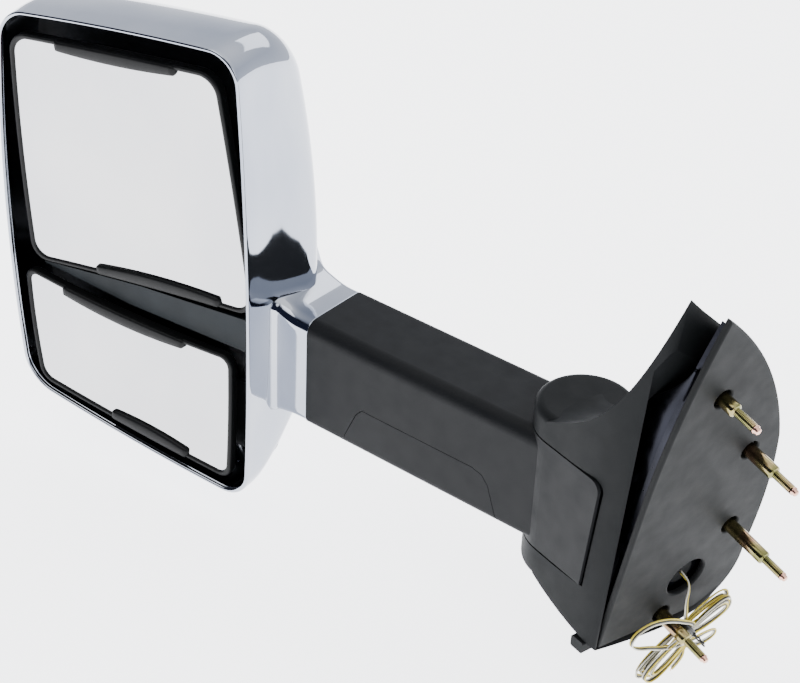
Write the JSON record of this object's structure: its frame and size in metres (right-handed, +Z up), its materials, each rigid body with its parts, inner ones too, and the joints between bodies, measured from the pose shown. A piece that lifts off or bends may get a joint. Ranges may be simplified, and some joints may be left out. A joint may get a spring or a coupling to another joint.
{
  "type": "vehicle side mirror",
  "caption": "Truck side mirror: chrome head with upper and lower glass on a black folding arm, flared base with sail gasket, door studs and wire pigtail.",
  "frame": {"origin": "centre of the gasket face that seats on the door, where all four studs come through", "axes": "+X inboard towards the door and longest extent of the part, +Y to the front of the vehicle, +Z up; the door face leans 10 degrees"},
  "size_m": [0.691, 0.3566, 0.4556],
  "materials": {
    "black_arm": "fine satin texture",
    "base_grey": "matte moulded texture",
    "gasket_rubber": "soft matte",
    "chrome_plating": "mirror-bright chrome plating on moulded plastic",
    "liner_black": "satin black",
    "divider_slate": "smooth dark slate",
    "frame_black": "semi-gloss black",
    "mirror_glass": "silvered glass",
    "heater_film": "thin amber film",
    "carrier_plastic": "moulded",
    "cast_metal": "dark painted casting",
    "bracket_alloy": "as cast",
    "tube_steel": "extruded",
    "bolt_steel": "zinc plated",
    "yellow_zinc": "yellow zinc passivate, iridescent",
    "acetal_white": "smooth white",
    "wire_ribbon": "yellow, white and black insulation",
    "tie_black": "wire tie"
  },
  "bodies": {
    "base": {"base_casting": "cast_metal", "base_cover": "base_grey", "foot_clip": "base_grey", "base_gasket": "gasket_rubber", "door_stud_1": "yellow_zinc", "door_stud_2": "yellow_zinc", "door_stud_3": "yellow_zinc", "door_stud_4": "yellow_zinc", "pivot_bolt": "bolt_steel", "pivot_washer": "bolt_steel", "spring_washers": "bolt_steel", "pivot_nut": "bolt_steel", "detent_ring": "acetal_white", "cover_screws": "bolt_steel", "wire_grommet": "gasket_rubber", "wire_lead": "wire_ribbon", "wire_tail": "wire_ribbon", "wire_hank": "wire_ribbon", "wire_tie": "tie_black"},
    "arm": {"hinge_barrel": "bracket_alloy", "arm_tube": "tube_steel", "tube_clamp_bolts": "bolt_steel", "arm_shell": "black_arm", "arm_access_cover": "black_arm", "arm_harness": "tie_black", "neck_collar": "chrome_plating", "head_shell": "chrome_plating", "head_liner": "liner_black", "divider_panel": "divider_slate", "head_bracket": "bracket_alloy", "bracket_bolts": "bolt_steel", "upper_mirror_actuator": "carrier_plastic", "lower_mirror_stalk": "carrier_plastic"},
    "upper_pivot": {"upper_gimbal": "acetal_white"},
    "upper_mirror": {"upper_carrier": "carrier_plastic", "upper_heater_pad": "heater_film", "upper_glass": "mirror_glass", "upper_mirror_frame": "frame_black"},
    "lower_pivot": {"lower_gimbal": "acetal_white"},
    "lower_mirror": {"lower_carrier": "carrier_plastic", "lower_heater_pad": "heater_film", "lower_glass": "mirror_glass", "lower_mirror_frame": "frame_black"}
  },
  "joints": [
    {"name": "arm_fold", "type": "hinge", "parent": "base", "child": "arm", "pos_m": [-0.1015, -0.045, 0], "axis": [0, 0, 1], "range_deg": [-60, 75]},
    {"name": "upper_pan", "type": "hinge", "parent": "arm", "child": "upper_pivot", "pos_m": [-0.5042, -0.20846, 0.0887], "axis": [0.017, -0.0402, 0.999], "range_deg": [-8, 4]},
    {"name": "upper_tilt", "type": "hinge", "parent": "upper_pivot", "child": "upper_mirror", "pos_m": [-0.5042, -0.20846, 0.0887], "axis": [0.9205, 0.3907, 0], "range_deg": [-8.5, 3.5]},
    {"name": "lower_pan", "type": "hinge", "parent": "arm", "child": "lower_pivot", "pos_m": [-0.51015, -0.21449, -0.10684], "axis": [-0.0196, 0.0485, 0.9986], "range_deg": [-7, 5]},
    {"name": "lower_tilt", "type": "hinge", "parent": "lower_pivot", "child": "lower_mirror", "pos_m": [-0.51015, -0.21449, -0.10684], "axis": [0.9272, 0.3746, 0], "range_deg": [-3, 8]}
  ]
}
